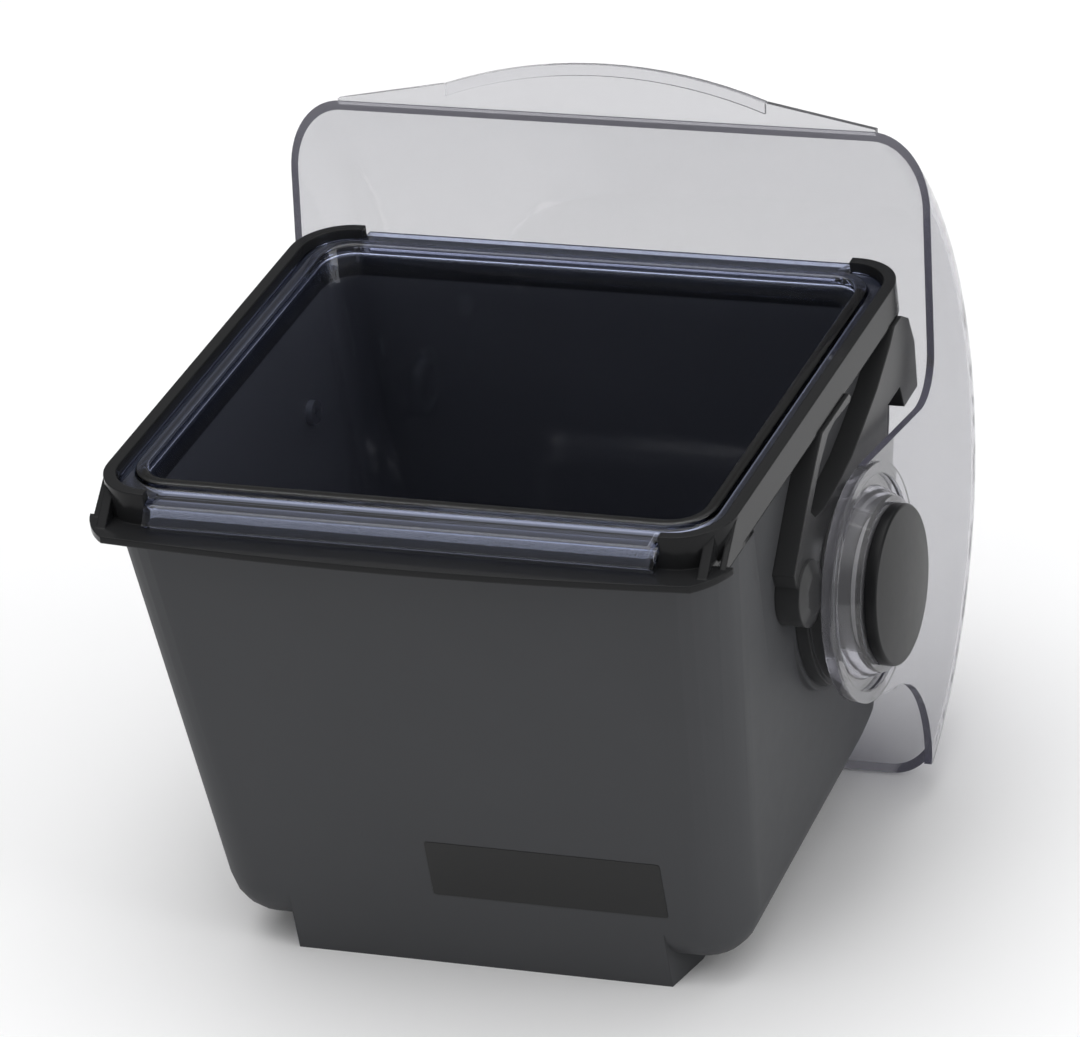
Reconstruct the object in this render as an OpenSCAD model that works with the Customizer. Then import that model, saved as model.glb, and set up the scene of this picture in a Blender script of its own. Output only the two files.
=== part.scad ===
// Countertop garnish tray with a lift-out clear insert and a swinging clear dome.
// X runs to the right, Y to the rear and Z up. The foot stands on z = 0, the dome is drawn open.

/* [Overall size] */
// Width across the moulded rim
rim_width = 166; // [150:0.5:185]
// Depth of the rim, front face to rear face
rim_depth = 145; // [138:0.5:160]
// Height of the rim top above the table
rim_height = 137.5; // [130:0.5:150]

/* [Bucket] */
// Wall of the moulded bucket
bucket_wall = 2.6; // [2:0.1:3.4]
// Width of the body where its underside turns up into the sides
body_foot_width = 140.6; // [132:0.2:146]
// Height of the body's underside above the table
underside = 5; // [3:0.5:8]
// Height of the vertical band round the rim
skirt_height = 8.7; // [6:0.1:12]
// Rounding of the front lower edge
front_toe = 14; // [8:0.5:18]
// Rounding of the rear lower edge, which leaves room for the swinging dome
rear_toe = 24; // [20:0.5:30]
// Depth of the side recess below the rim's side face
recess_depth = 5; // [4:0.1:6.5]

/* [Foot and lip] */
// Width of the foot at its front
foot_width = 101.6; // [80:0.2:110]
// Rear end of the foot
foot_rear = 36; // [20:0.5:38]
// How far the lip reaches past the rim at each side
lip_side = 2.3; // [0:0.1:2.7]
// How far the lip stands out from the rim
lip_reach = 10.4; // [6:0.1:11.5]
// Thickness of the lip
lip_thick = 1.8; // [1.4:0.1:2.4]

/* [Insert tray] */
// Wall of the clear insert
insert_wall = 1.8; // [1.4:0.1:2.4]
// Height of the underside of the insert's floor
insert_floor = 45; // [25:0.5:70]
// Width of the tabs at the front and rear of the insert
tab_width = 134; // [100:0.2:140]

/* [Dome] */
// Distance from the rim's side face out to the dome's outer face
dome_side = 5.25; // [4.75:0.05:8]
// Wall of the dome
dome_wall = 2; // [1.6:0.1:2.2]
// Outer radius of the dome's arch
dome_radius = 107.8; // [106:0.1:112]
// Opening angle past upright at which the dome rests
dome_lean = 11.5; // [8:0.5:11.5]
// Radius of the round ears on the pivot
ear_radius = 30.3; // [27:0.1:31.5]
// Reach of the pull flange in front of the dome's edge
pull_reach = 13.2; // [9:0.1:16]

/* [Pivot] */
// Depth of the pivot below the rim top
pivot_drop = 55.9; // [53.5:0.1:57.5]
// Pivot's distance behind the middle of the rim
pivot_back = 7.1; // [6:0.1:8]
// Radius of the pivot cap's head
cap_radius = 20.4; // [16:0.1:22]
// Radius of the cap's shoulder inside the ear
shoulder_radius = 8; // [6:0.1:10]
// Radial running clearance of the ear on the shoulder
run_fit = 0.06; // [0.03:0.01:0.1]
// Radius of the bracket's hub
hub_radius = 25.2; // [22:0.1:27]
// How far the ear's cup stands out from the dome's side wall
cup_depth = 5.3; // [3:0.1:7]

/* [Hidden] */
$fa = 4;
$fs = 0.6;

// Rim and body
rim_hw = rim_width / 2;
pivot_height = rim_height - pivot_drop;
recess_half = rim_hw - recess_depth;
lip_width = rim_width + 2 * lip_side;
dome_width = rim_width + 2 * dome_side;
rim_hd = rim_depth / 2;
rim_corner = 14;
skirt_z = rim_height - skirt_height;
body_top_inset = 0.3;
side_draft = (rim_hw - body_top_inset - body_foot_width / 2) / (skirt_z - underside);
foot_front = -60;
end_draft = (rim_hd - 0.5 + foot_front) / skirt_z;
cavity_hw = recess_half - 2.5;
cavity_front = -(rim_hd - 8);
cavity_rear = rim_hd - 7.2;
cavity_corner = 10;
ledge_z = rim_height - 4.4;

// Insert
flange_z = ledge_z + 0.3;
flange_thick = 1.8;
flange_top = flange_z + flange_thick;
insert_hw = cavity_hw - 0.5;
insert_front = cavity_front + 0.7;
insert_rear = cavity_rear - 0.5;
insert_draft = 0.1;
side_room = 4;
insert_corner = 9.5;
tab_proud = 1.05;

// Dome, in its own closed frame: u forward from the pivot, v up from the pivot
edge_v = 54;
front_u = 100.9;
rear_u = -71.5;
arc_u = (front_u + rear_u) / 2;
arc_v = edge_v - sqrt(pow(dome_radius, 2) - pow((front_u - rear_u) / 2, 2));
dome_hw = dome_width / 2;
dome_in = dome_hw - dome_wall;
dome_corner = 15;

// Side stack along X: recess floor, bracket, washer, ear, cap
hub_face = recess_half + 6.4;
cup_radius = cap_radius + 1.7;
cup_face = dome_hw + cup_depth;
cup_inside = cup_face - dome_wall;
boss_radius = cap_radius - 0.6;
washer_thick = 1.4;
boss_face = cup_inside - washer_thick - 0.25;
cap_gap = 0.35;
cap_side = 2.4;
cap_edge = 0.8;
cap_crown = 1;
cap_base = cup_face + cap_gap;
stem_radius = 5;
seat_gap = 0.3;

// Shared shapes

// Rounded rectangle given by its four sides
module plan(hw, front, rear, r) {
    translate([-hw + r, front]) square([2 * (hw - r), rear - front]);
    translate([-hw, front + r]) square([2 * hw, rear - front - 2 * r]);
    for (sx = [-1, 1], y = [front + r, rear - r])
        translate([sx * (hw - r), y]) circle(r);
}

// Drafted tub that grows upward, with rounded toes front and rear
module tub(hw, front, rear, draft_x, draft_y, z0, z1, toe_f, toe_r, r_top, hw_max, y_max) {
    hull() {
        for (sx = [-1, 1]) {
            translate([sx * (hw + draft_x * toe_f - toe_f), front - draft_y * toe_f + toe_f, z0 + toe_f])
                sphere(toe_f, $fn = 24);
            translate([sx * (hw + draft_x * toe_r - toe_r), rear + draft_y * toe_r - toe_r, z0 + toe_r])
                sphere(toe_r, $fn = 28);
        }
        // level where the side walls stop growing, then the top
        z_max = min(z1, z0 + (hw_max - hw) / draft_x);
        for (z = [z_max, z1 - 0.1])
            translate([0, 0, z])
                linear_extrude(0.1)
                    plan(min(hw_max, hw + draft_x * (z - z0)),
                         max(-y_max[0], front - draft_y * (z - z0)),
                         min(y_max[1], rear + draft_y * (z - z0)), r_top, $fn = 28);
    }
}

// Everything mounted on the pivot is drawn round the origin with X outward, then put in place
module at_pivot() {
    translate([0, pivot_back, pivot_height]) children();
}

// Lays a flat outline drawn in (y, z) on a plane of constant x and thickens it outward
module side_slab(x0, x1) {
    translate([x0, 0, 0])
        rotate([90, 0, 90])
            linear_extrude(x1 - x0) children();
}

// Disc or tube about the X axis
module x_cyl(r, x0, x1) {
    translate([x0, 0, 0]) rotate([0, 90, 0]) cylinder(h = x1 - x0, r = r);
}

module mirrored(side) {
    if (side > 0) children();
    else mirror([1, 0, 0]) children();
}

// Bucket

// Plan of the foot: square front, opening out to the rear
module foot_plan(shrink) {
    w = foot_width / 2 - shrink;
    polygon([[-w, foot_front - 4], [w, foot_front - 4], [w, foot_front + shrink],
             [w + 3.2, foot_front + 13.5], [w + 3.2, foot_rear - shrink],
             [-w - 3.2, foot_rear - shrink], [-w - 3.2, foot_front + 13.5],
             [-w, foot_front + shrink]]);
}

module foot() {
    wall = 3;
    deep = 17;
    difference() {
        linear_extrude(deep) foot_plan(0);
        // front face drafted in line with the bucket's front wall
        translate([0, foot_front, 0])
            rotate([atan(end_draft), 0, 0])
                translate([-rim_width / 2, -20, -5]) cube([rim_width, 20, 40]);
        // hollow underside, left with a cross of ribs and a round pad
        difference() {
            translate([0, 0, -1])
                linear_extrude(underside + 1)
                    intersection() {
                        foot_plan(wall);
                        translate([-rim_width / 2, foot_front + wall])
                            square([rim_width, foot_rear - foot_front - wall]);
                    }
            for (x = [-26, 0, 26])
                translate([x - 1.25, foot_front, -1]) cube([2.5, 120, 20]);
            for (y = [-30, 0])
                translate([-80, y - 1.25, -1]) cube([160, 2.5, 20]);
            translate([0, 0, -1]) cylinder(h = 20, r = 11);
        }
    }
}

// Front lip: a shallow bow with round corners that runs a little way round the sides
module lip() {
    bow = 900;
    corner = 20;
    front = -rim_hd - lip_reach;
    translate([0, 0, skirt_z - lip_thick])
        intersection() {
            linear_extrude(lip_thick) plan(lip_width / 2, front - 0.6, front + 60, corner);
            translate([0, front + bow, -1]) cylinder(h = lip_thick + 2, r = bow, $fa = 0.5);
            translate([-100, front - 2, -1]) cube([200, lip_reach + 5.5, lip_thick + 2]);
        }
}

// Fixed slope under the insert's front tab
module apron() {
    y = -rim_hd;
    translate([-tab_width / 2 + 0.8, 0, 0])
        rotate([90, 0, 90])
            linear_extrude(tab_width - 1.6)
                polygon([[y + 2, skirt_z - 1], [y + 2, ledge_z], [y + 0.7, ledge_z],
                         [y - 1.6, skirt_z + 1.2], [y - 3, skirt_z - 1]]);
}

// Upright web, drawn in (y, z), that ties a front corner of the rim down to the lip
module corner_web(x, width, back, reach) {
    y = -rim_hd;
    side_slab(x, x + width)
        polygon([[y + back + 3, skirt_z - 1], [y + back + 3, rim_height - 1],
                 [y + back, rim_height - 1], [y - reach, skirt_z], [y - reach, skirt_z - 1]]);
}

// Side recess that takes the bracket, with a sloping front end
module side_recess() {
    floor_z = pivot_height - 9.6;
    translate([0, 0, floor_z])
        linear_extrude(skirt_z - floor_z)
            polygon([[recess_half, -39], [recess_half + 7, -55], [recess_half + 14, -55],
                     [recess_half + 14, 100], [recess_half, 100]]);
}

// Places of the two screws that hold a bracket, in (y, z) from the pivot
screw_spots = [[-29.6, 13.4], [30.9, 18.4]];

module base_body() {
    color("#3b3d3f")
    difference() {
        union() {
            difference() {
                tub(body_foot_width / 2, foot_front - end_draft * underside,
                    -foot_front + end_draft * underside, side_draft, end_draft,
                    underside, skirt_z, front_toe, rear_toe, 16, 200, [200, 200]);
                for (side = [1, -1]) mirrored(side) side_recess();
            }
            // round pads that carry the bracket hubs
            at_pivot() x_cyl(hub_radius + 3, -recess_half, recess_half);
            // rim band
            translate([0, 0, skirt_z])
                linear_extrude(skirt_height) plan(rim_hw, -rim_hd, rim_hd, rim_corner);
            lip();
            apron();
            for (side = [1, -1])
                mirrored(side) {
                    corner_web(77.6, 2.4, 5.5, 3.2);
                    corner_web(81.4, 1.6, 12, -2);
                }
            foot();
        }
        // cavity: drafted at first, straight where the side recesses come in
        tub(body_foot_width / 2 - bucket_wall, foot_front - end_draft * underside + bucket_wall,
            -foot_front + end_draft * underside - bucket_wall, side_draft, end_draft,
            underside + bucket_wall, rim_height + 2, front_toe - bucket_wall,
            rear_toe - bucket_wall, cavity_corner, cavity_hw, [-cavity_front, cavity_rear]);
        // pocket in the rim for the insert's flange, open at front and rear for its tabs
        translate([0, 0, ledge_z])
            linear_extrude(10) {
                plan(rim_hw - 3.1, -rim_hd + 2.6, rim_hd - 2.6, rim_corner - 2.4);
                square([tab_width + 0.8, rim_depth + 30], center = true);
            }
        // flat seats for the retainers and screw heads, then pivot and screw holes
        at_pivot() x_cyl(10, -cavity_hw, cavity_hw);
        for (s = screw_spots)
            at_pivot() translate([0, s[0], s[1]]) x_cyl(4, -cavity_hw, cavity_hw);
        at_pivot() x_cyl(stem_radius + seat_gap, -rim_hw, rim_hw);
        for (s = screw_spots)
            at_pivot() translate([0, s[0], s[1]]) x_cyl(1.8, -rim_hw, rim_hw);
    }
}

// Brackets

// Rear arm in (y, z) from the pivot: from the hub up to the rim band, with a hook that points down at its end
module rear_arm_plan() {
    top = skirt_z - seat_gap - pivot_height;
    polygon([[-35.1, 22.4], [-22.1, 31.9], [-19.6, 29.2], [-13.1, 28], [-0.5, 29.1], [8.9, 30.6],
             [17.9, 33.3], [30.9, 37.8], [42.9, 43.8], [47.4, top], [52.9, top], [57.5, 43.9],
             [60.1, 35.9], [58.9, 23.6], [48.2, 23.4], [46.5, 30], [36.9, 30], [34.7, 26.4],
             [33.5, 21.9], [28.9, 11.4], [24.4, 2.4], [0, 0],
             [-21.1, 4.4], [-32.1, 14.4]]);
}

// Thin rib in (y, z) from the pivot that runs from the guide boss up to the rim band and along under it
module front_rib_plan() {
    top = skirt_z - seat_gap - pivot_height;
    polygon([[-36.1, 17.4], [-37.5, 22.4], [-23.1, 35.6], [-14.9, 42.4], [-8.7, top], [11.5, top],
             [12.5, 45.6], [11.5, 44.6], [-0.1, 45.4], [-5.1, 44.6], [-12.9, 40], [-20.7, 33.4],
             [-33.1, 21.4]]);
}

module bracket_body() {
    rib_face = hub_face - 0.6;
    spot = screw_spots[0];
    boss_step = 1.2;
    difference() {
        union() {
            at_pivot() side_slab(recess_half, rib_face) rear_arm_plan();
            at_pivot() side_slab(recess_half, rib_face) front_rib_plan();
            // hub in two steps, then the boss that the ear's cup turns round
            at_pivot() {
                x_cyl(hub_radius + 1.4, recess_half, hub_face - 3);
                x_cyl(hub_radius, recess_half + 1, hub_face);
                x_cyl(boss_radius, recess_half + 2, boss_face);
            }
            // guide boss that keeps the ear off the arm
            at_pivot() translate([0, spot[0], spot[1]]) {
                x_cyl(8.5, recess_half, hub_face);
                translate([hub_face, 0, 0])
                    rotate([0, 90, 0]) cylinder(h = boss_step, r1 = 8.5, r2 = 5);
            }
        }
        at_pivot() x_cyl(stem_radius + seat_gap, 0, cup_face);
        for (s = screw_spots)
            at_pivot() translate([0, s[0], s[1]]) x_cyl(1.8, 0, recess_half + 4.8);
    }
}

module bracket_right() {
    color("#222325") mirrored(1) bracket_body();
}

module bracket_left() {
    color("#222325") mirrored(-1) bracket_body();
}

// Insert tray

module insert_tray() {
    z_in = insert_floor + insert_wall;
    drop = flange_top - insert_floor;
    // the side walls lean in more where a wide rim stands on a narrow underside
    cavity_at_floor = body_foot_width / 2 - bucket_wall
        + side_draft * (insert_floor - underside - bucket_wall);
    lean = max(insert_draft, (insert_hw - cavity_at_floor + side_room) / drop);
    hw0 = insert_hw - lean * drop;
    front0 = insert_front + insert_draft * drop;
    rear0 = insert_rear - insert_draft * drop;
    color([0.55, 0.58, 0.75, 0.5])
    difference() {
        union() {
            tub(hw0, front0, rear0, lean, insert_draft, insert_floor, flange_top,
                insert_corner, insert_corner, insert_corner, 200, [200, 200]);
            translate([0, 0, flange_z])
                linear_extrude(flange_thick) {
                    plan(rim_hw - 3.5, -rim_hd + 3, rim_hd - 3, rim_corner - 2.8);
                    translate([-tab_width / 2, -rim_hd - tab_proud])
                        square([tab_width, rim_depth + tab_proud + 1.5]);
                }
            // raised bead round the mouth
            translate([0, 0, flange_z])
                linear_extrude(flange_thick + 1.6)
                    plan(insert_hw + 1.5, insert_front - 1.5, insert_rear + 1.5, insert_corner + 1.5);
            // turned-down front tab
            translate([-tab_width / 2, -rim_hd - tab_proud, flange_z])
                rotate([90, 0, 90])
                    linear_extrude(tab_width)
                        polygon([[0.9, 0], [0, flange_thick], [-3.1, -2.3], [-2, -3.3]]);
        }
        tub(hw0 - insert_wall, front0 + insert_wall, rear0 - insert_wall, lean,
            insert_draft, z_in, flange_top + 10, insert_corner - insert_wall,
            insert_corner - insert_wall, insert_corner - insert_wall, 200, [200, 200]);
    }
}

// Dome

// Drum with rounded rims that the arch is cut from, its axis along X
module drum(r, hw, corner) {
    translate([0, -arc_u, arc_v])
        rotate([0, 90, 0])
            rotate_extrude($fa = 2) {
                translate([0, -hw]) square([r - corner, 2 * hw]);
                translate([0, corner - hw]) square([r, 2 * (hw - corner)]);
                for (s = [-1, 1])
                    translate([r - corner, s * (hw - corner)]) circle(corner);
            }
}

// Dome wall as a closed drum, before its opening is cut
module drum_shell() {
    difference() {
        drum(dome_radius, dome_hw, dome_corner);
        drum(dome_radius - dome_wall, dome_in, dome_corner - dome_wall);
    }
}

// Side wall between the ear and the dome's edge, cut from the drum, outline in (-u, v)
module ear_web() {
    toe = 12.5;
    heel = 27.5;
    difference() {
        intersection() {
            drum_shell();
            side_slab(dome_hw - dome_corner, dome_hw + 1)
                polygon([[-45, edge_v + 1], [64, edge_v + 1], [64, 42], [61.5, 16], [33.8, 16],
                         [31, 0], [20, -12], [-20, -12], [-30.4, 0], [-32, 41.5], [-45, 41.5]]);
        }
        translate([0, -44.5, 41.5]) x_cyl(toe, 0, dome_width);
        translate([0, 61.5, 16]) x_cyl(heel, 0, dome_width);
    }
}

// Round ear: a disc with a raised bead, and a tapered cup that carries the cap
module ear() {
    bead = 1.5;
    bead_width = 2.8;
    x_cyl(ear_radius - 0.3, dome_in, dome_hw);
    difference() {
        x_cyl(ear_radius, dome_in + 0.4, dome_hw + bead);
        x_cyl(ear_radius - bead_width, dome_in - 1, dome_hw + bead + 1);
    }
    translate([dome_hw - 0.5, 0, 0])
        rotate([0, 90, 0]) cylinder(h = cup_depth + 0.5, r1 = cup_radius + 2.6, r2 = cup_radius);
}

// Pull flange beyond the front edge: a shallow arch with sloping shoulders and a bead
module pull_flange() {
    top = front_u + pull_reach;
    arch = 135;
    thick = 2;
    z0 = edge_v + 0.4;
    inner = front_u - 1.4;
    shoulder = front_u + 0.43 * pull_reach;
    intersection() {
        translate([0, arch - top, z0]) cylinder(h = thick, r = arch, $fa = 1);
        translate([-52, -top - 1, z0 - 1]) cube([104, top + 1 - inner, thick + 2]);
    }
    translate([0, 0, z0])
        linear_extrude(thick)
            polygon([[-74, -inner], [-74, -front_u - 0.4], [-45, -shoulder], [45, -shoulder],
                     [74, -front_u - 0.4], [74, -inner]]);
    intersection() {
        difference() {
            translate([0, arch - top, z0 + 0.5]) cylinder(h = thick + 0.6, r = arch - 0.3, $fa = 1);
            translate([0, arch - top, z0]) cylinder(h = thick + 3, r = arch - 3.2, $fa = 1);
        }
        translate([-44, -top - 1, z0]) cube([88, 20, thick + 3]);
    }
}

module dome_closed() {
    block = 240;
    difference() {
        union() {
            intersection() {
                drum_shell();
                translate([-block / 2, -block / 2, edge_v]) cube([block, block, block]);
            }
            for (side = [1, -1])
                mirrored(side) {
                    ear();
                    ear_web();
                }
            pull_flange();
        }
        // inside of each cup and the running bore
        for (side = [1, -1])
            mirrored(side) {
                x_cyl(boss_radius + 0.5, dome_in - 5, cup_inside);
                x_cyl(shoulder_radius + run_fit, dome_in - 6, dome_width);
            }
    }
}

module dome_lid() {
    color([0.78, 0.78, 0.82, 0.35])
    at_pivot() rotate([-(90 + dome_lean), 0, 0]) dome_closed();
}

// Pivot hardware

// Mushroom cap with a faintly domed face, a shoulder for the ear and a thin stem
module pivot_cap() {
    flat = cap_radius - cap_edge;
    head_side = cap_base + cap_side;
    steps = 6;
    rounded = [for (i = [0:steps]) let (a = 90 * i / steps)
        [flat + cap_edge * cos(a), head_side + cap_edge * sin(a)]];
    domed = [for (i = [1:steps]) let (k = 1 - i / steps)
        [flat * k, head_side + cap_edge + cap_crown * (1 - k * k)]];
    at_pivot()
        rotate([0, 90, 0])
            rotate_extrude()
                polygon(concat([[0, cavity_hw - 2.6], [stem_radius, cavity_hw - 2.6],
                                [stem_radius, boss_face], [shoulder_radius, boss_face],
                                [shoulder_radius, cap_base], [cap_radius, cap_base]],
                               rounded, domed));
}

module pivot_cap_right() {
    color("#46484a") mirrored(1) pivot_cap();
}

module pivot_cap_left() {
    color("#46484a") mirrored(-1) pivot_cap();
}

// Friction washer between the hub's boss and the ear's cup
module washer() {
    at_pivot()
        difference() {
            x_cyl(boss_radius - 0.3, boss_face, boss_face + washer_thick);
            x_cyl(shoulder_radius + seat_gap, 0, rim_width);
        }
}

module friction_washer_right() {
    color("#d9d9d6") mirrored(1) washer();
}

module friction_washer_left() {
    color("#d9d9d6") mirrored(-1) washer();
}

// Push-on retainer on the end of the stem, inside the bucket
module retainer() {
    at_pivot()
        difference() {
            union() {
                x_cyl(9, cavity_hw - 0.9, cavity_hw);
                x_cyl(6.6, cavity_hw - 1.8, cavity_hw);
            }
            x_cyl(stem_radius + 0.05, 0, rim_width);
        }
}

module pivot_retainer_right() {
    color("#8d9093") mirrored(1) retainer();
}

module pivot_retainer_left() {
    color("#8d9093") mirrored(-1) retainer();
}

// Pan-head screws driven outward into the brackets
module screw() {
    difference() {
        union() {
            x_cyl(3.2, cavity_hw - 1.8, cavity_hw);
            x_cyl(1.5, cavity_hw - 1, recess_half + 4.4);
        }
        for (turn = [0, 90])
            rotate([turn, 0, 0])
                translate([cavity_hw - 1.9, -1.7, -0.35]) cube([1, 3.4, 0.7]);
    }
}

module bracket_screws() {
    color("#8d9093")
    for (side = [1, -1])
        mirrored(side)
            for (s = screw_spots)
                at_pivot() translate([0, s[0], s[1]]) screw();
}

base_body();
insert_tray();
dome_lid();
bracket_right();
bracket_left();
pivot_cap_right();
pivot_cap_left();
friction_washer_right();
friction_washer_left();
pivot_retainer_right();
pivot_retainer_left();
bracket_screws();
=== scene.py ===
import math
import bmesh
import bpy
import numpy as np
from mathutils import Matrix, Vector


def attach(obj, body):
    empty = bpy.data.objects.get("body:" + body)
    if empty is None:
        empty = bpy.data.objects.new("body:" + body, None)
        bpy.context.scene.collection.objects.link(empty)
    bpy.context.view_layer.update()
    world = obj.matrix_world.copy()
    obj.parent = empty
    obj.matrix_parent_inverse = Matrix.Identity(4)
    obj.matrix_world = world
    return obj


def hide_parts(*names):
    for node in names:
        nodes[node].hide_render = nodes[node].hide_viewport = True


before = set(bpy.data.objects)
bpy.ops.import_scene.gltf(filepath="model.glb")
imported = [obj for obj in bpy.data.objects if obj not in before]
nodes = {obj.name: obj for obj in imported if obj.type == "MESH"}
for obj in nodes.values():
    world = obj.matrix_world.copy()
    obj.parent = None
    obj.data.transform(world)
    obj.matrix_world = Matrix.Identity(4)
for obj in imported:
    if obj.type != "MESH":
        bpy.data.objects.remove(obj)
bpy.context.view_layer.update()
mm = 0.001
print("frame loaded:", len(nodes), "nodes")


# Camera

cameraLook = {
    "azimuth": 24.75,        # degrees, from the front towards the right side
    "elevation": 28.66,
    "roll": -7.76,
    "distance": 1.74614,     # metres
    "target": (0.0, 0.00945, 0.09075),
    "focalPixels": 6887.77,  # at a picture width of 1080
    "pictureWidth": 1080.0,
    "sensorWidth": 36.0,     # millimetres
    "clip": (0.05, 60.0),
}


def makeCamera(look):
    # back points from the target to the camera; right and up are turned by the roll about it
    a, e, r = (math.radians(look[k]) for k in ("azimuth", "elevation", "roll"))
    back = Vector((math.sin(a) * math.cos(e), -math.cos(a) * math.cos(e), math.sin(e)))
    right = Vector((math.cos(a), math.sin(a), 0.0))
    up = back.cross(right)
    right, up = right * math.cos(r) + up * math.sin(r), up * math.cos(r) - right * math.sin(r)
    lens = bpy.data.cameras.new("camera")
    lens.sensor_fit = "HORIZONTAL"
    lens.sensor_width = look["sensorWidth"]
    lens.lens = look["focalPixels"] * look["sensorWidth"] / look["pictureWidth"]
    lens.clip_start, lens.clip_end = look["clip"]
    camera = bpy.data.objects.new("camera", lens)
    place = Matrix((right, up, back)).transposed().to_4x4()
    place.translation = Vector(look["target"]) + back * look["distance"]
    camera.matrix_world = place
    bpy.context.scene.collection.objects.link(camera)
    bpy.context.scene.camera = camera


makeCamera(cameraLook)


# Shader helpers

class Wire:
    # a socket that works in Python expressions: each operator adds a Math node
    def __init__(self, tree, socket):
        self.tree = tree
        self.socket = socket

    def step(self, operation, *others):
        node = self.tree.nodes.new("ShaderNodeMath")
        node.operation = operation
        for slot, value in zip(node.inputs, others):
            plug(self.tree, value, slot)
        return Wire(self.tree, node.outputs[0])

    def __add__(self, other):
        return self.step("ADD", self, other)

    def __radd__(self, other):
        return self.step("ADD", other, self)

    def __sub__(self, other):
        return self.step("SUBTRACT", self, other)

    def __rsub__(self, other):
        return self.step("SUBTRACT", other, self)

    def __mul__(self, other):
        return self.step("MULTIPLY", self, other)

    def __rmul__(self, other):
        return self.step("MULTIPLY", other, self)


def plug(tree, value, slot):
    if isinstance(value, Wire):
        tree.links.new(value.socket, slot)
    elif isinstance(value, (tuple, list)) and len(value) == 3 and slot.type == "RGBA":
        slot.default_value = (*value, 1.0)
    else:
        slot.default_value = value


class Finish:
    # one material; every node that isn't Math comes from add()
    def __init__(self, name):
        self.material = bpy.data.materials.new(name)
        self.material.use_nodes = True
        self.tree = self.material.node_tree
        self.tree.nodes.clear()

    def add(self, kind, settings=None, sockets=None, give=0):
        node = self.tree.nodes.new("ShaderNode" + kind)
        for key, value in (settings or {}).items():
            setattr(node, key, value)
        for key, value in (sockets or {}).items():
            if not isinstance(key, int):
                key = ([i for i, s in enumerate(node.inputs) if s.identifier == key]
                       or [i for i, s in enumerate(node.inputs) if s.name == key])[0]
            plug(self.tree, value, node.inputs[key])
        given = [s for s in node.outputs if s.identifier == give or s.name == give]
        return Wire(self.tree, given[0] if given else node.outputs[give])

    def zAxis(self):
        return self.add("SeparateXYZ", {}, {"Vector": self.add("TexCoord", give="Object")}, "Z")

    def noise(self, scale, detail=2.0, rough=0.5):
        where = self.add("TexCoord", give="Object")
        return self.add("TexNoise", {}, {"Vector": where, "Scale": scale, "Detail": detail,
                                         "Roughness": rough}, "Fac")

    def ramp(self, value, low, high):
        return self.add("MapRange", {"interpolation_type": "SMOOTHSTEP"},
                        {"Value": value, "From Min": low, "From Max": high}, "Result")

    def blend(self, mask, first, second):
        return self.add("Mix", {"data_type": "RGBA"},
                        {"Factor_Float": mask, "A_Color": first, "B_Color": second}, "Result_Color")

    def spread(self, colour, share, scale, detail=2.0, rough=0.5):
        # a colour that wanders by the given share to both sides of its value
        less, more = (tuple((1 + sign * share) * c for c in colour) for sign in (-1, 1))
        return self.blend(self.noise(scale, detail, rough), less, more)

    def bump(self, height, strength, distance, normal):
        return self.add("Bump", {}, {"Height": height, "Strength": strength, "Distance": distance,
                                     "Normal": normal}, "Normal")

    def softEdge(self, radius):
        return self.add("Bevel", {"samples": 6}, {"Radius": radius}, "Normal")

    def mixShader(self, mask, first, second):
        return self.add("MixShader", {}, {0: mask, 1: first, 2: second})

    def surface(self, shader, volume=None):
        end = self.tree.nodes.new("ShaderNodeOutputMaterial")
        plug(self.tree, shader, end.inputs["Surface"])
        if volume:
            plug(self.tree, volume, end.inputs["Volume"])
        return self.material


# Materials

bucketLook = {
    "matte": (0.0630, 0.0645, 0.0685),  # grained walls
    "matteRough": 0.47,
    "gloss": (0.0165, 0.0168, 0.0176),  # rim band, lip and everything above them
    "glossRough": 0.13,
    "shine": 0.11,
    "edge": 0.7 * mm,
    "grain": 1500.0,                    # grains per metre
    "grainStrength": 0.08,
    "grainDepth": 0.1 * mm,
    "bandStart": 126.6 * mm,
    "bandEnd": 127.4 * mm,
}


def bucketFinish(look):
    # gloss = smooth step of z across the band's lower edge; colour and roughness go from
    # matte to gloss with it, and the grain's height fades out with it
    f = Finish("bucketPlastic")
    gloss = f.ramp(f.zAxis(), look["bandStart"], look["bandEnd"])
    rub = f.noise(160.0, 3.0, 0.7)
    colour = f.blend(gloss, f.spread(look["matte"], 0.07, 14.0, 4.0, 0.6), look["gloss"])
    rough = ((look["matteRough"] + 0.08 * rub) * (1.0 - gloss)
             + (look["glossRough"] + 0.05 * rub) * gloss)
    grain = f.noise(look["grain"], 1.0, 0.4) * (1.0 - gloss) + 0.06 * f.noise(90.0) * gloss
    normal = f.bump(grain, look["grainStrength"], look["grainDepth"], f.softEdge(look["edge"]))
    return f.surface(f.add("BsdfPrincipled", {}, {
        "Base Color": colour, "Roughness": rough, "Normal": normal,
        "IOR": 1.5, "Specular IOR Level": look["shine"]}))


bracketLook = {"colour": (0.030, 0.0305, 0.0315), "rough": 0.26, "edge": 0.5 * mm, "shine": 0.25}
capFaceLook = {"colour": (0.0080, 0.0083, 0.0090), "rough": 0.3, "edge": 0.3 * mm, "shine": 0.14}
washerLook = {"colour": (0.62, 0.62, 0.6), "rough": 0.45, "edge": 0.2 * mm, "shine": 0.5}
labelFaceLook = {"colour": (0.0072, 0.0074, 0.0076), "rough": 0.26, "edge": 0.1 * mm, "shine": 0.4}


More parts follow.
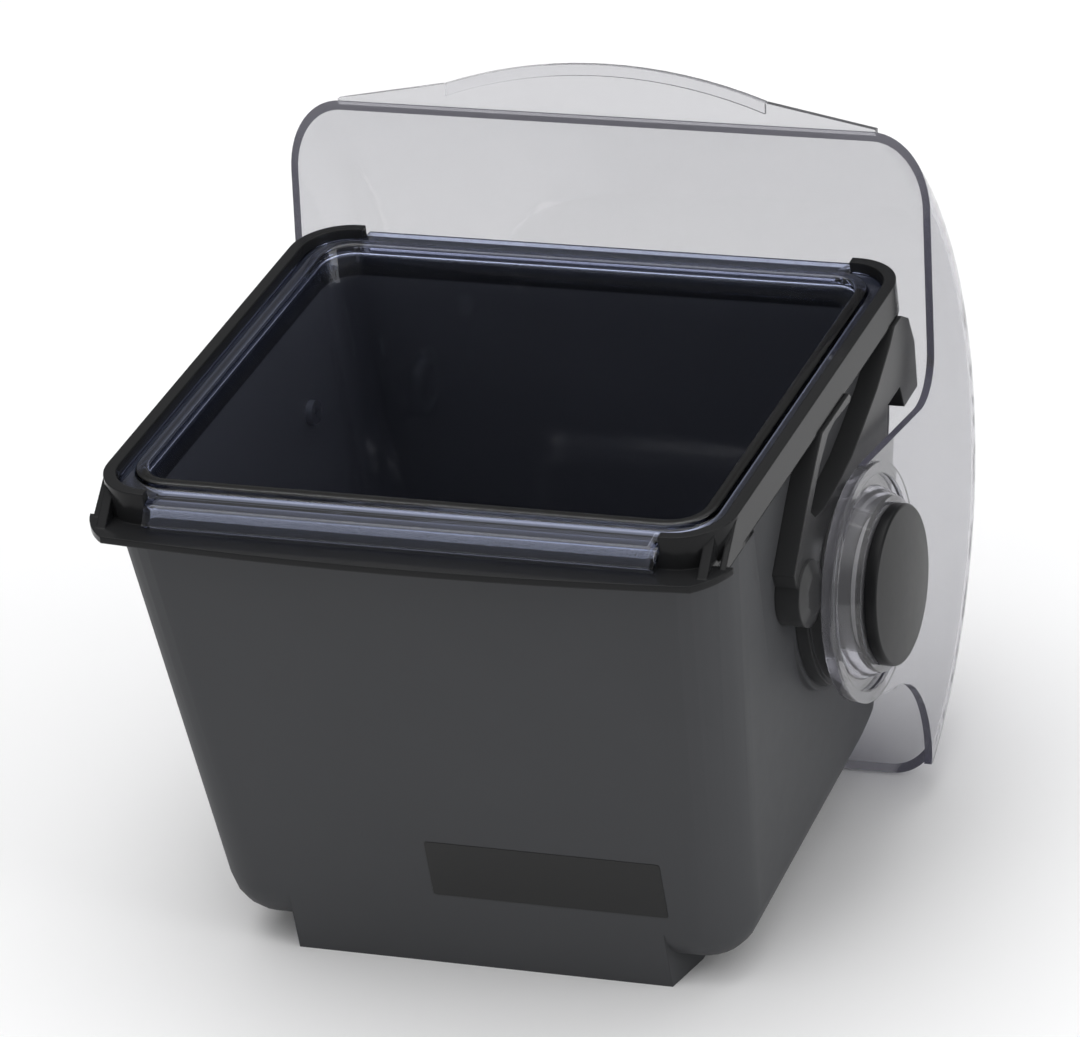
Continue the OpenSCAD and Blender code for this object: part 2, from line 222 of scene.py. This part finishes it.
def glossFinish(name, look):
    # polished moulding: a slow ripple in the surface and faint handling marks in the roughness
    f = Finish(name)
    normal = f.bump(f.noise(60.0), 0.06, 0.6 * mm, f.softEdge(look["edge"]))
    return f.surface(f.add("BsdfPrincipled", {}, {
        "Base Color": f.spread(look["colour"], 0.1, 25.0),
        "Roughness": look["rough"] + 0.08 * f.noise(220.0, 4.0, 0.7),
        "Normal": normal, "IOR": 1.5, "Specular IOR Level": look["shine"]}))


insertLook = {
    "colour": (0.86, 0.865, 0.88),
    "rimColour": (0.70, 0.76, 0.95),    # flange and bead
    "rimStart": 130.0 * mm,
    "rimEnd": 133.2 * mm,
    "rough": 0.02,
    "absorb": (0.46, 0.5, 0.68),
    "density": 80.0,                    # per metre
    "shadow": (0.76, 0.78, 0.86),       # what lamp rays keep when they pass through
    "shine": 0.2,
    "milk": 0.0,                        # share of light that a smoky wall scatters back
}
domeClearLook = {
    "colour": (0.74, 0.74, 0.752),
    "rough": 0.015,
    "absorb": (0.5, 0.49, 0.6),
    "density": 45.0,
    "shadow": (0.7, 0.7, 0.72),
    "shine": 0.5,
    "milk": 0.075,
    "fog": (0.55, 0.55, 0.57),
}


def clearFinish(name, look):
    # clear plastic: refracts, absorbs along its length, and lets lamp rays pass straight through;
    # with a rimColour, its colour goes over to it by a smooth step of z
    f = Finish(name)
    haze = f.noise(120.0, 3.0, 0.6)
    tone = look["colour"]
    if "rimColour" in look:
        tone = f.blend(f.ramp(f.zAxis(), look["rimStart"], look["rimEnd"]), tone, look["rimColour"])
    glass = f.add("BsdfPrincipled", {}, {
        "Base Color": tone, "Roughness": look["rough"] + 0.03 * haze,
        "IOR": 1.49, "Specular IOR Level": look["shine"], "Transmission Weight": 1.0})
    if look["milk"]:
        fog = f.add("BsdfDiffuse", {}, {"Color": look["fog"]})
        glass = f.mixShader(look["milk"] * (0.9 + 0.2 * haze), glass, fog)
    shadow = f.add("LightPath", give="Is Shadow Ray")
    through = f.add("BsdfTransparent", {}, {"Color": look["shadow"]})
    volume = f.add("VolumeAbsorption", {}, {"Color": look["absorb"], "Density": look["density"]})
    return f.surface(f.mixShader(shadow, glass, through), volume)


domeEdgeLook = {
    "low": (0.112, 0.109, 0.155),
    # high: painted light, the lighter grey that the top of the edge band takes where light falls from
    # above
    "high": (0.235, 0.23, 0.27),
    "paintedLightStart": 145.0 * mm,
    "paintedLightEnd": 176.0 * mm,
    "share": 0.66,                      # how much of the edge is grey and not clear
    "clear": (0.8, 0.8, 0.88),
}


def edgeFinish(name, look):
    # the wall seen end-on: a share of soft violet-grey over clear, polished plastic; the grey
    # goes from low to high by a smooth step of z, a painted highlight: the top of the edge is lighter
    # where light falls on it
    f = Finish(name)
    low = f.spread(look["low"], 0.12, 30.0)
    # painted highlight: the grey goes over to the lighter tone towards the top of the dome
    tone = f.blend(f.ramp(f.zAxis(), look["paintedLightStart"], look["paintedLightEnd"]), low, look["high"])
    body = f.add("BsdfPrincipled", {}, {"Base Color": tone, "Roughness": 0.2, "IOR": 1.49})
    glass = f.add("BsdfPrincipled", {}, {
        "Base Color": look["clear"], "Roughness": 0.05, "IOR": 1.49, "Transmission Weight": 1.0})
    return f.surface(f.mixShader(look["share"], glass, body))


steelLook = {"colour": (0.55, 0.56, 0.58), "rough": 0.24, "wear": 0.2, "wearScale": 900.0}


def metalFinish(name, look):
    # turned steel: fine wear in the roughness
    f = Finish(name)
    rough = look["rough"] + look["wear"] * f.noise(look["wearScale"], 3.0, 0.7)
    return f.surface(f.add("BsdfPrincipled", {}, {
        "Base Color": look["colour"], "Metallic": 1.0, "Roughness": rough}))


bucketPlastic = bucketFinish(bucketLook)
bracketPlastic = glossFinish("bracketPlastic", bracketLook)
capPlastic = glossFinish("capPlastic", capFaceLook)
washerPlastic = glossFinish("washerPlastic", washerLook)
labelPlastic = glossFinish("labelPlastic", labelFaceLook)
insertClear = clearFinish("insertClear", insertLook)
domeClear = clearFinish("domeClear", domeClearLook)
domeEdge = edgeFinish("domeEdge", domeEdgeLook)
steel = metalFinish("steel", steelLook)
print("materials made")


# Surface helpers

def newPiece(name, points, faces, material, body, slot, replaced=()):
    mesh = bpy.data.meshes.new(name)
    mesh.from_pydata(points, [], faces)
    mesh.materials.append(material)
    mesh.shade_smooth()
    piece = bpy.data.objects.new(name, mesh)
    bpy.context.scene.collection.objects.link(piece)
    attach(piece, body)
    if replaced:
        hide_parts(*replaced)
    return piece


def skin(rings):
    # rings is (k, m, 3): quads join point j of ring i to its neighbours, and the first and last
    # ring are closed with a fan to their middle
    k, m = rings.shape[:2]
    i, j = np.meshgrid(np.arange(k - 1), np.arange(m), indexing="ij")
    n = (j + 1) % m
    quads = np.stack([i * m + j, i * m + n, (i + 1) * m + n, (i + 1) * m + j], -1).reshape(-1, 4)
    points = np.vstack([rings.reshape(-1, 3), rings[0].mean(0), rings[-1].mean(0)])
    a = np.arange(m)
    b = (a + 1) % m
    first = np.stack([b, a, np.full(m, k * m)], -1)
    last = np.stack([(k - 1) * m + a, (k - 1) * m + b, np.full(m, k * m + 1)], -1)
    return points, quads.tolist() + first.tolist() + last.tolist()


def roundLoop(half, front, rear, radius, straight, corner):
    # rounded rectangle, counter-clockwise from above: on each side a share t of the straight run,
    # at each corner radius times (cos a, sin a) about the corner's centre.
    # straight holds the shares -1..1 of the points on a side, corner the angles 0..90
    xs, ys = half - radius, (rear - front) / 2 - radius
    mid = (rear + front) / 2
    c, s = np.cos(corner), np.sin(corner)
    runs = [
        np.stack([straight * xs, np.full_like(straight, front)], -1),
        np.stack([xs + radius * s, mid - ys - radius * c], -1),
        np.stack([np.full_like(straight, half), mid + straight * ys], -1),
        np.stack([xs + radius * c, mid + ys + radius * s], -1),
        np.stack([-straight * xs, np.full_like(straight, rear)], -1),
        np.stack([-xs - radius * s, mid + ys + radius * c], -1),
        np.stack([np.full_like(straight, -half), mid - straight * ys], -1),
        np.stack([-xs - radius * c, mid - ys - radius * s], -1),
    ]
    return np.concatenate(runs)


def turned(profile, count, centre, side):
    # profile (x, r) turned about the X axis through centre: y = r cos a, z = r sin a
    a = np.linspace(0, 2 * np.pi, count, endpoint=False) * side
    x, r = profile[:, 0, None], profile[:, 1, None]
    y, z = centre[0] + r * np.cos(a), centre[1] + r * np.sin(a)
    return np.stack([side * x + 0 * a, y, z], -1) * mm


def arc(cx, cy, radius, start, end, count):
    # points cx + radius cos a, cy + radius sin a, a in degrees
    a = np.radians(np.linspace(start, end, count))
    return np.stack([cx + radius * np.cos(a), cy + radius * np.sin(a)], -1)


# Insert tray: one closed skin, from the underside up the outer wall, over the flange and its
# tabs, over the bead and down the inner wall to the floor

trayLook = {
    "floor": 45.0, "wall": 1.8, "draft": 0.1, "toe": 9.5,
    "half": 65.98, "front": -54.78, "rear": 55.78,      # outer walls at the floor
    "flangeHalf": 79.5, "flangeEnd": 69.5, "flangeCorner": 11.2,
    "flangeLow": 133.4, "flangeTop": 135.2,
    "beadHalf": 76.5, "beadFront": -65.3, "beadRear": 66.3, "beadTop": 136.8, "beadCorner": 11.0,
    "tabHalf": 67.0, "tabFront": -73.55, "tabRear": 74.0,
    # flange rings from its underside over its edge to its top: inset, change of corner radius,
    # height, then how far the front tab's ring is from tabFront, and its height. Heights are
    # above the flange's underside
    "flangeRings": (
        (3.0, -3.0, 0.0, 2.4, 0.0),
        (0.5, -0.5, 0.0, 0.95, -0.02),
        (0.12, 0.0, 0.15, -1.9, -3.2),
        (0.03, 0.0, 0.35, -2.25, -3.27),
        (0.0, 0.0, 0.6, -2.95, -2.65),
        (0.0, 0.0, 0.9, -3.1, -2.3),
        (0.0, 0.0, 1.3, -2.95, -2.05),
        (0.06, 0.0, 1.58, -0.45, 1.18),
        (0.2, 0.0, 1.74, -0.05, 1.65),
        (0.5, -0.4, 1.8, 0.5, 1.8),
    ),
    # bead rings: inset from its outer face, height above the flange
    "beadRings": ((-0.6, 0.0), (-0.12, 0.12), (0.0, 0.45), (0.0, 1.05), (0.16, 1.44), (0.55, 1.6)),
    "outerTurn": (90, 78, 66, 54, 42, 30, 18, 8, 0),    # degrees round the outer toe
    "innerTurn": (0, 10, 20, 32, 44, 56, 68, 80, 90),   # and round the inner one
    "smallestCorner": 0.02,
}


def trayRings(look):
    # each ring is a rounded rectangle at one height; on the tabs' share of the front and rear
    # sides the flange rings are moved out, and at the front also down along the tab
    side = np.concatenate([[-1.0, -0.988, -0.98], np.linspace(-0.95, 0.95, 21), [0.98, 0.988, 1.0]])
    turn = np.radians(np.linspace(0, 90, 12)[1:-1])
    step = len(side) + len(turn)
    index = np.arange(4 * step)
    onFront = index < len(side)
    onRear = (index >= 2 * step) & (index < 2 * step + len(side))
    rings = []

    def ring(half, front, rear, radius, z, tab=None):
        loop = roundLoop(half, front, rear, max(radius, look["smallestCorner"]), side, turn)
        height = np.full(len(index), z)
        if tab:
            on = np.abs(loop[:, 0]) < look["tabHalf"]
            rearY, frontY, frontZ = tab
            loop[:, 1] = np.where(onFront & on, frontY, loop[:, 1])
            loop[:, 1] = np.where(onRear & on, rearY, loop[:, 1])
            height = np.where(onFront & on, frontZ, height)
        rings.append(np.column_stack([loop, height]))

    def wall(out, radius, z):
        ring(look["half"] + out, look["front"] - out, look["rear"] + out, radius, z)

    draft, toe, low, top = (look[k] for k in ("draft", "toe", "flangeLow", "flangeTop"))
    floor, thick, beadTop = look["floor"], look["wall"], look["beadTop"]
    for a in np.radians(look["outerTurn"]):
        wall(toe * (draft - 1 + math.cos(a)), toe * math.cos(a), floor + toe - toe * math.sin(a))
    for z in np.linspace(floor + 14, low - 0.8, 9):
        wall(draft * (z - floor), toe, z)
    for extra, drop in ((0.25, 0.2), (0.8, 0.0)):       # fillet below the flange
        wall(draft * (low - floor) + extra, toe, low - drop)
    for inset, corner, z, tabY, tabZ in look["flangeRings"]:
        end = look["flangeEnd"] - inset
        ring(look["flangeHalf"] - inset, -end, end, look["flangeCorner"] + corner, low + z,
             (look["tabRear"] - inset, look["tabFront"] + tabY, low + tabZ))
    for inset, z in look["beadRings"]:
        ring(look["beadHalf"] - inset, look["beadFront"] + inset, look["beadRear"] - inset,
             look["beadCorner"] - inset, top + z)
    for extra, drop in ((0.75, 0.0), (0.2, 0.2)):       # round of the bead's inner edge
        wall(draft * (beadTop - 0.7 - floor) - thick + extra, toe - thick + extra, beadTop - drop)
    floor, toe = floor + thick, toe - thick
    for z in np.linspace(beadTop - 0.8, floor + 12, 10):
        wall(draft * (z - floor) - thick, toe, z)
    for a in np.radians(look["innerTurn"]):
        wall(toe * (draft - 1 + math.cos(a)) - thick, toe * math.cos(a), floor + toe - toe * math.sin(a))
    return np.array(rings) * mm


# Pivot caps: a turned profile from the stem's end out to the middle of the face

capLook = {
    "centre": (7.1, 81.6), "stemEnd": 72.9, "stem": 5.0, "stemRound": 0.5,
    "shoulderStart": 89.9, "shoulder": 8.0, "round": 0.25,
    "headStart": 93.9, "head": 20.4, "headSide": 96.3, "backRound": 0.3, "edge": 0.8, "crown": 1.0,
    "count": 96,
}


def capProfile(look):
    # straight steps with small rounds, then the face: x falls with the square of the radius
    stem, shoulder, head = look["stem"], look["shoulder"], look["head"]
    tip, r, back = look["stemRound"], look["round"], look["backRound"]
    flat = head - look["edge"]
    face = np.linspace(1, 0.02, 14)
    top = look["headSide"] + look["edge"]
    parts = [
        arc(look["stemEnd"] + tip, stem - tip, tip, 180, 90, 5),
        arc(look["shoulderStart"] - r, stem + r, r, -90, 0, 4),
        arc(look["shoulderStart"] + r, shoulder - r, r, 180, 90, 4),
        arc(look["headStart"] - r, shoulder + r, r, -90, 0, 4),
        arc(look["headStart"] + back, head - back, back, 180, 90, 4),
        arc(look["headSide"], flat, look["edge"], 90, 8, 8),
        np.stack([top + look["crown"] * (1 - face ** 2), flat * face], -1),
    ]
    return np.concatenate(parts)


# Label plate: a bare rounded plate that lies on the drafted front wall

labelLook = {
    "left": -10.0, "right": 53.0, "low": 21.8, "high": 38.4,
    "thick": 0.22, "corner": 0.8, "wallAtFloor": -60.0, "wallSlope": 0.0932,
    # rings from the back over the edge to the face: inset, share of the thickness
    "rings": ((0, -0.05), (0, 0.6), (0.04, 0.86), (0.12, 0.97), (0.25, 1.0), (1.5, 1.0)),
}


def labelRings(look):
    # rounded rectangles in the wall's plane, lifted along its normal
    slope = look["wallSlope"]
    up = np.array([0, -slope, 1.0]) / math.hypot(1, slope)
    out = np.array([0, -1.0, -slope]) / math.hypot(1, slope)
    half = (look["right"] - look["left"]) / 2
    tall = (look["high"] - look["low"]) / 2
    midX, midZ = (look["left"] + look["right"]) / 2, (look["high"] + look["low"]) / 2
    middle = np.array([midX, look["wallAtFloor"] - slope * midZ, midZ])
    side = np.linspace(-1, 1, 12)
    turn = np.radians(np.linspace(0, 90, 7)[1:-1])
    rings = []
    for inset, lift in look["rings"]:
        corner = look["corner"] - inset
        loop = roundLoop(half - inset, -tall + inset, tall - inset, max(corner, 0.05), side, turn)
        across = loop[:, :1] * np.array([1.0, 0, 0])
        rings.append(middle + across + loop[:, 1:] * up + lift * look["thick"] * out)
    return np.array(rings) * mm


newPiece("labelPlate", *skin(labelRings(labelLook)), labelPlastic, "base", "bracket_plastic")
newPiece("insertTray", *skin(trayRings(trayLook)), insertClear, "insert", "insert_clear",
         ("insert_tray",))
for side, sign in (("right", 1), ("left", -1)):
    cap = turned(capProfile(capLook), capLook["count"], capLook["centre"], sign)
    newPiece(f"pivotCap_{side}", *skin(cap), capPlastic, "base", "cap_plastic",
             (f"pivot_cap_{side}",))
print("turned and lofted pieces made")


# Pieces that keep the frame's own shape, welded and smoothed

weldLook = {
    "merge": 0.002 * mm,     # corners nearer than this are one
    "smallest": 0.0001 * mm, # edges shorter than this go
    "weight": 80,            # of large faces in the even normals
    "sharp": 30.0,           # degrees, on the small fittings
}


def weldedCopy(name, node, body, material, sharp):
    # the node's triangles with shared corners; edges under the sharp angle are shaded round
    mesh = nodes[node].data.copy()
    work = bmesh.new()
    work.from_mesh(mesh)
    bmesh.ops.remove_doubles(work, verts=work.verts, dist=weldLook["merge"])
    bmesh.ops.dissolve_degenerate(work, dist=weldLook["smallest"], edges=work.edges)
    work.to_mesh(mesh)
    work.free()
    mesh.materials.clear()
    mesh.materials.append(material)
    mesh.name = name
    piece = bpy.data.objects.new(name, mesh)
    bpy.context.scene.collection.objects.link(piece)
    if "custom_normal" in mesh.attributes:
        mesh.attributes.remove(mesh.attributes["custom_normal"])
    mesh.shade_smooth()
    mesh.set_sharp_from_angle(angle=math.radians(sharp))
    even = piece.modifiers.new("evenNormals", "WEIGHTED_NORMAL")
    even.keep_sharp = True
    even.weight = weldLook["weight"]
    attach(piece, body)
    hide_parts(node)
    return piece


def dress(node, material):
    mesh = nodes[node].data
    mesh.materials.clear()
    mesh.materials.append(material)
    if "custom_normal" not in mesh.attributes:
        mesh.shade_smooth()
        mesh.set_sharp_from_angle(angle=math.radians(weldLook["sharp"]))


domeLook = {
    "pivot": (7.1, 81.6), "lean": 11.5,
    "edge": 54.0,            # the cut edge, from the pivot along the dome's upright axis
    "edgeReach": 0.15,       # how near to it a face lies
    "facing": -0.95,         # and how squarely it faces along that axis
    "flankFrom": 73.2, "flankBelow": 1.0, "flankTilt": 0.08,
    "earClear": 31.2,        # no edge finish nearer to the pivot
}


def markDomeEdge(piece, material, look):
    # the narrow faces of the cut edge get their own finish: those that face along the dome's own
    # upright axis at its edge, and those beside the ears that face neither outward nor inward
    mesh = piece.data
    mesh.materials.append(material)
    count = len(mesh.polygons)
    normal, middle = np.empty(count * 3), np.empty(count * 3)
    mesh.polygons.foreach_get("normal", normal)
    mesh.polygons.foreach_get("center", middle)
    normal, middle = normal.reshape(-1, 3), middle.reshape(-1, 3) / mm
    a = math.radians(90 + look["lean"])
    y, z = middle[:, 1] - look["pivot"][0], middle[:, 2] - look["pivot"][1]
    v = y * math.sin(a) + z * math.cos(a)
    along = normal[:, 1] * math.sin(a) + normal[:, 2] * math.cos(a)
    cut = (np.abs(v - look["edge"]) < look["edgeReach"]) & (along < look["facing"])
    flank = ((np.abs(normal[:, 0]) < look["flankTilt"])
             & (np.abs(middle[:, 0]) > look["flankFrom"])
             & (v < look["edge"] - look["flankBelow"]) & (np.hypot(y, z) > look["earClear"]))
    mesh.polygons.foreach_set("material_index", (cut | flank).astype(np.int32))


weldedCopy("bucketBody", "base_body", "base", bucketPlastic, 31.0)
dome = weldedCopy("domeShell", "dome_lid", "dome", domeClear, 31.0)
markDomeEdge(dome, domeEdge, domeLook)
for side in ("right", "left"):
    weldedCopy(f"bracket_{side}Moulding", f"bracket_{side}", "base",
               bracketPlastic, 25.0)
    dress(f"friction_washer_{side}", washerPlastic)
    dress(f"pivot_retainer_{side}", steel)
dress("bracket_screws", steel)
print("frame pieces dressed")


# Studio

studioLook = {
    "floor": (0.93, 0.93, 0.935),
    "floorHalf": 7.0,
    "sky": (0.5, 0.85, 0.24, 1.15),  # height from, height to, strength from, strength to
    "aim": (0, 0, 0.1),
    "lamps": (                       # name, watts, place, size
        ("topLamp", 15.0, (-0.3, 0.2, 1.9), (1.8, 1.8)),
        ("rightLamp", 12.0, (1.9, -0.2, 0.9), (1.2, 1.4)),
        ("frontLamp", 3.2, (-0.8, -2.0, 1.0), (1.4, 0.8)),
    ),
}


def softLamp(name, watts, place, size, aim):
    lamp = bpy.data.lights.new(name, "AREA")
    lamp.shape = "RECTANGLE"
    lamp.size, lamp.size_y = size
    lamp.energy = watts
    thing = bpy.data.objects.new(name, lamp)
    thing.location = place
    thing.rotation_euler = (Vector(aim) - Vector(place)).to_track_quat("-Z", "Y").to_euler()
    bpy.context.scene.collection.objects.link(thing)


def makeFloor(half, colour):
    # a flat square, far wider than the view
    mesh = bpy.data.meshes.new("floor")
    corners = [(-half, -half, 0), (half, -half, 0), (half, half, 0), (-half, half, 0)]
    mesh.from_pydata(corners, [], [(0, 1, 2, 3)])
    floor = bpy.data.objects.new("floor", mesh)
    bpy.context.scene.collection.objects.link(floor)
    f = Finish("floorPaper")
    tone = f.blend(f.noise(2.0, 3.0), tuple(0.99 * c for c in colour), colour)
    mesh.materials.append(f.surface(f.add("BsdfPrincipled", {}, {
        "Base Color": tone, "Roughness": 0.9})))


def makeSky(limits):
    # strength rises by a smooth step of the direction's height, from the horizon to overhead
    world = bpy.data.worlds.new("sky")
    bpy.context.scene.world = world
    world.use_nodes = True
    tree = world.node_tree
    split = tree.nodes.new("ShaderNodeSeparateXYZ")
    tree.links.new(tree.nodes.new("ShaderNodeTexCoord").outputs["Generated"], split.inputs[0])
    rise = tree.nodes.new("ShaderNodeMapRange")
    rise.interpolation_type = "SMOOTHSTEP"
    tree.links.new(split.outputs["Z"], rise.inputs["Value"])
    for slot, value in zip(("From Min", "From Max", "To Min", "To Max"), limits):
        rise.inputs[slot].default_value = value
    back = tree.nodes["Background"]
    back.inputs["Color"].default_value = (1, 1, 1, 1)
    tree.links.new(rise.outputs["Result"], back.inputs["Strength"])


makeFloor(studioLook["floorHalf"], studioLook["floor"])
makeSky(studioLook["sky"])
for lamp in studioLook["lamps"]:
    softLamp(*lamp, studioLook["aim"])
bpy.context.scene.view_settings.view_transform = "Standard"
print("studio made")
